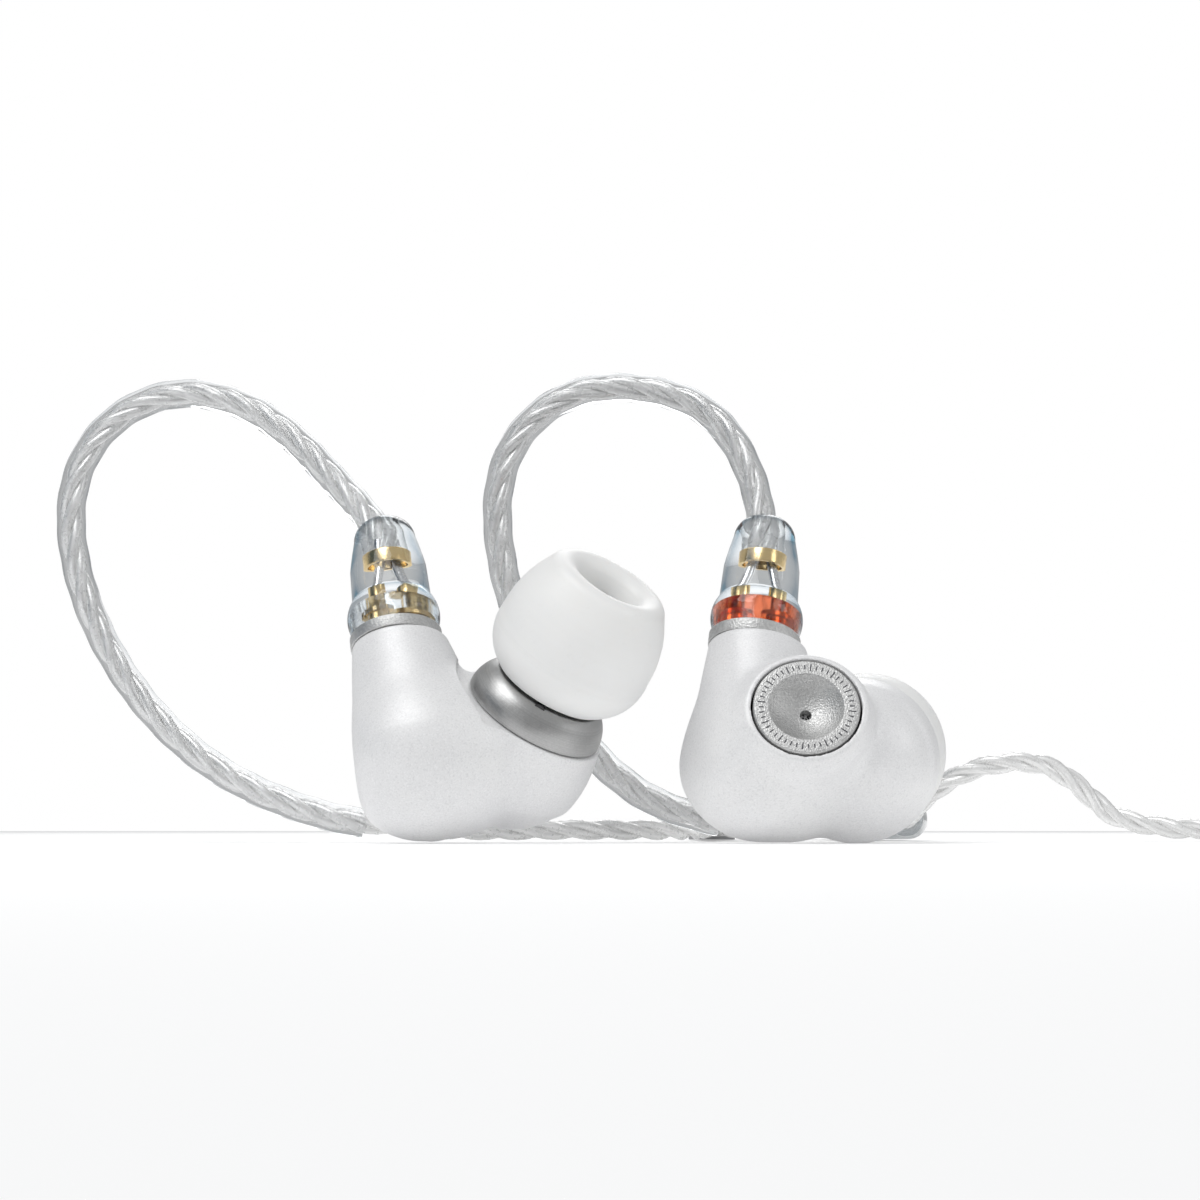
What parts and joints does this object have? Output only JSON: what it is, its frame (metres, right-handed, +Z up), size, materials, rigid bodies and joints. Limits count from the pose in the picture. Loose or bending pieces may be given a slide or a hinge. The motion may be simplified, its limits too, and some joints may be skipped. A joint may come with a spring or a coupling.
{
  "type": "in-ear monitor pair",
  "caption": "Mirrored pair of in-ear monitors: pearl lobed shells, metal nozzles, soft white tips, clear plugs and a silver braided cable with ear hooks.",
  "frame": {"origin": "on the surface the pair stands on, below the middle of the two earphones' box", "axes": "+X from the left earphone to the right one, +Y away from the viewer, +Z up"},
  "size_m": [0.1347, 0.0779, 0.038],
  "materials": {
    "pearl_shell": "pearl satin lacquer over cast metal",
    "bead_blasted_metal": "bead-blasted grey",
    "spun_metal": "spun and bead-blasted silver",
    "steel_mesh": "woven fine mesh",
    "black_plastic": "moulded black",
    "gold_plate": "gold plated",
    "white_silicone": "soft satin silicone",
    "driver_metal": "plated steel",
    "magnet_dark": "nickel-plated magnet",
    "film": "thin pressed film",
    "copper": "enamelled copper wire",
    "clear_plastic": "clear moulded plastic",
    "red_insert": "translucent red plastic",
    "clear_insert": "translucent clear plastic",
    "sleeved_cable": "clear sleeve over a silver-white twist",
    "bare_cable": "silver-plated strands in clear jackets",
    "clear_fitting": "clear moulded plastic",
    "silver_fitting": "satin silver",
    "hook_strap": "woven hook-and-loop strap",
    "insulator": "insulating rings"
  },
  "bodies": {
    "root": {"branch_hank": "bare_cable", "cable_ties": "hook_strap", "jack_barrel": "silver_fitting", "jack_contacts": "gold_plate", "jack_insulators": "insulator", "jack_lead": "bare_cable", "left_branch_cable": "bare_cable", "left_branch_tail": "bare_cable", "left_collar_ring": "bead_blasted_metal", "left_driver_basket": "black_plastic", "left_driver_cover": "driver_metal", "left_driver_leads": "copper", "left_driver_magnet": "magnet_dark", "left_driver_top_plate": "driver_metal", "left_driver_yoke": "driver_metal", "left_medallion": "spun_metal", "left_nozzle": "bead_blasted_metal", "left_nozzle_mesh": "steel_mesh", "left_shell": "pearl_shell", "left_socket_block": "black_plastic", "left_socket_contacts": "gold_plate", "left_vent_mesh": "steel_mesh", "main_cable": "bare_cable", "main_coil": "bare_cable", "right_branch_cable": "bare_cable", "right_branch_tail": "bare_cable", "right_collar_ring": "bead_blasted_metal", "right_driver_basket": "black_plastic", "right_driver_cover": "driver_metal", "right_driver_leads": "copper", "right_driver_magnet": "magnet_dark", "right_driver_top_plate": "driver_metal", "right_driver_yoke": "driver_metal", "right_medallion": "spun_metal", "right_nozzle": "bead_blasted_metal", "right_nozzle_mesh": "steel_mesh", "right_shell": "pearl_shell", "right_socket_block": "black_plastic", "right_socket_contacts": "gold_plate", "right_vent_mesh": "steel_mesh", "y_split": "silver_fitting"},
    "left_tip": {"left_ear_tip": "white_silicone"},
    "left_plug": {"left_plug_body": "clear_plastic", "left_plug_pins": "gold_plate", "left_plug_wires": "bare_cable", "left_crimp_ring": "gold_plate", "left_marker_insert": "clear_insert", "left_ear_hook_cable": "sleeved_cable"},
    "left_cone": {"left_diaphragm": "film", "left_voice_coil": "copper"},
    "right_tip": {"right_ear_tip": "white_silicone"},
    "right_plug": {"right_plug_body": "clear_plastic", "right_plug_pins": "gold_plate", "right_plug_wires": "bare_cable", "right_crimp_ring": "gold_plate", "right_marker_insert": "red_insert", "right_ear_hook_cable": "sleeved_cable"},
    "right_cone": {"right_diaphragm": "film", "right_voice_coil": "copper"},
    "slider": {"chin_slider": "clear_fitting"}
  },
  "joints": [
    {"name": "left_ear_tip_pull", "type": "slide", "parent": "root", "child": "left_tip", "axis": [0.4798, -0.3735, 0.7939], "range_m": [0, 0.006]},
    {"name": "left_plug_pull", "type": "slide", "parent": "root", "child": "left_plug", "axis": [-0.1299, 0.4398, 0.8886], "range_m": [0, 0.006]},
    {"name": "left_diaphragm_travel", "type": "slide", "parent": "root", "child": "left_cone", "axis": [0.4798, -0.3735, 0.7939], "range_m": [-0.00025, 0.00025], "stiffness_N_per_m": 400},
    {"name": "right_ear_tip_pull", "type": "slide", "parent": "root", "child": "right_tip", "axis": [0.1514, 0.9843, 0.0908], "range_m": [0, 0.006]},
    {"name": "right_plug_pull", "type": "slide", "parent": "root", "child": "right_plug", "axis": [0.11, 0.3851, 0.9163], "range_m": [0, 0.006]},
    {"name": "right_diaphragm_travel", "type": "slide", "parent": "root", "child": "right_cone", "axis": [0.1514, 0.9843, 0.0908], "range_m": [-0.00025, 0.00025], "stiffness_N_per_m": 400},
    {"name": "chin_slider_travel", "type": "slide", "parent": "root", "child": "slider", "axis": [0, 1, 0], "range_m": [0, 0.006]}
  ]
}
